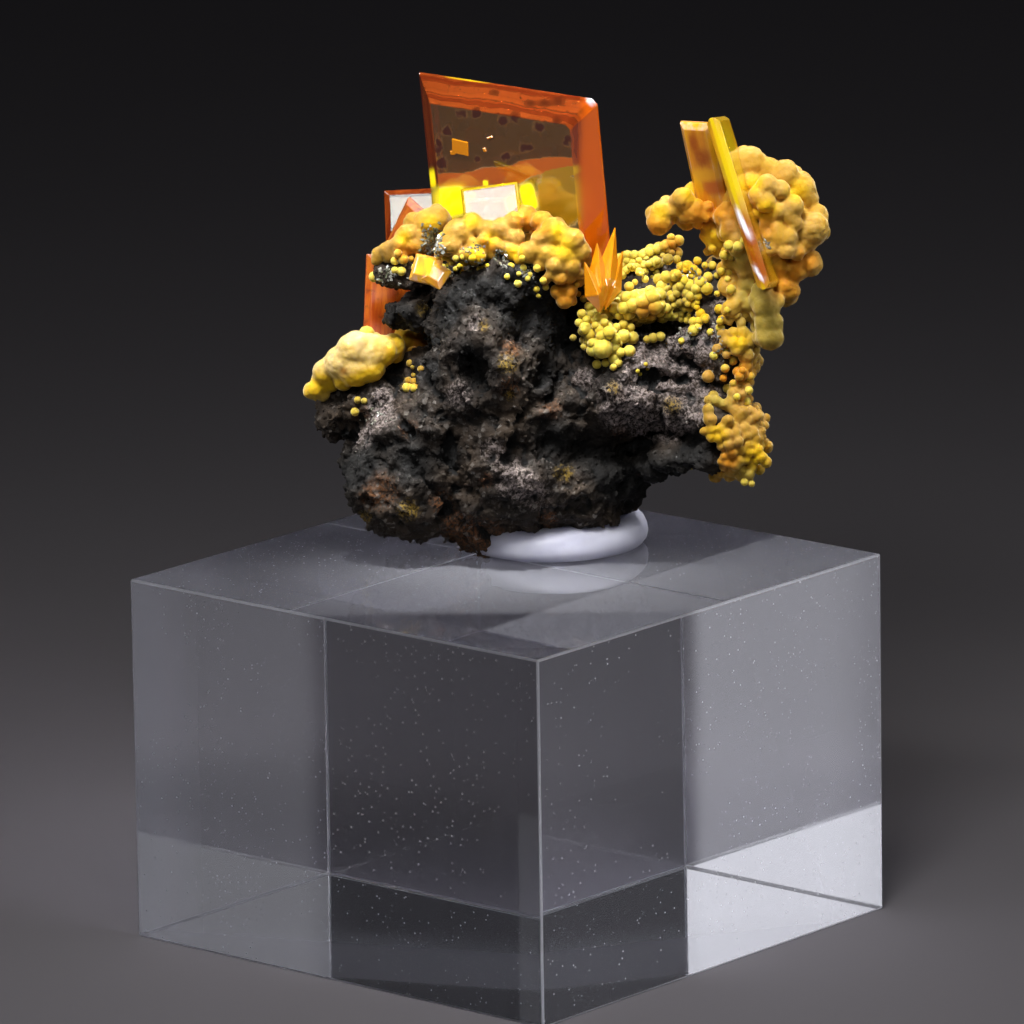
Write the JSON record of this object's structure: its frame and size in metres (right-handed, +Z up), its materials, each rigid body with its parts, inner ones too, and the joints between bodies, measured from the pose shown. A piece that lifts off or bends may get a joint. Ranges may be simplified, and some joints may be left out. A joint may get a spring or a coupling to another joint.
{
  "type": "wulfenite mineral specimen on a display block",
  "caption": "Square orange wulfenite plates in botryoidal yellow mimetite on dark matrix rock, set in putty on a clear acrylic display block.",
  "frame": {"origin": "middle of the display block's underside, on the surface that it stands on", "axes": "+Z up; X and Y along the block's sides; the display side faces between +X and -Y"},
  "size_m": [0.036, 0.036, 0.0575],
  "materials": {
    "acrylic": "clear cast acrylic, polished, with fine scratches",
    "putty": "milky, translucent, glossy mounting putty",
    "rock": "rough, gritty, near-black, with brown iron stains",
    "mimetite": "smooth, waxy, slightly translucent, yellow",
    "wulfenite": "clear orange crystal with a resinous to adamantine shine"
  },
  "bodies": {
    "root": {"display_block": "acrylic", "mounting_putty": "putty", "matrix_rock": "rock", "mimetite_knob": "mimetite", "mimetite_horn": "mimetite", "mimetite_crest": "mimetite", "mimetite_rim": "mimetite", "mimetite_saddle": "mimetite", "mimetite_cluster": "mimetite", "mimetite_upper_flank": "mimetite", "mimetite_lower_flank": "mimetite", "mimetite_shelf": "mimetite", "wulfenite_main_plate": "wulfenite", "wulfenite_rear_plate": "wulfenite", "wulfenite_front_plate": "wulfenite", "wulfenite_left_plate": "wulfenite", "wulfenite_peak": "wulfenite", "wulfenite_short_blade": "wulfenite", "wulfenite_long_blade": "wulfenite", "wulfenite_spray": "wulfenite", "wulfenite_chip": "wulfenite"}
  },
  "joints": []
}
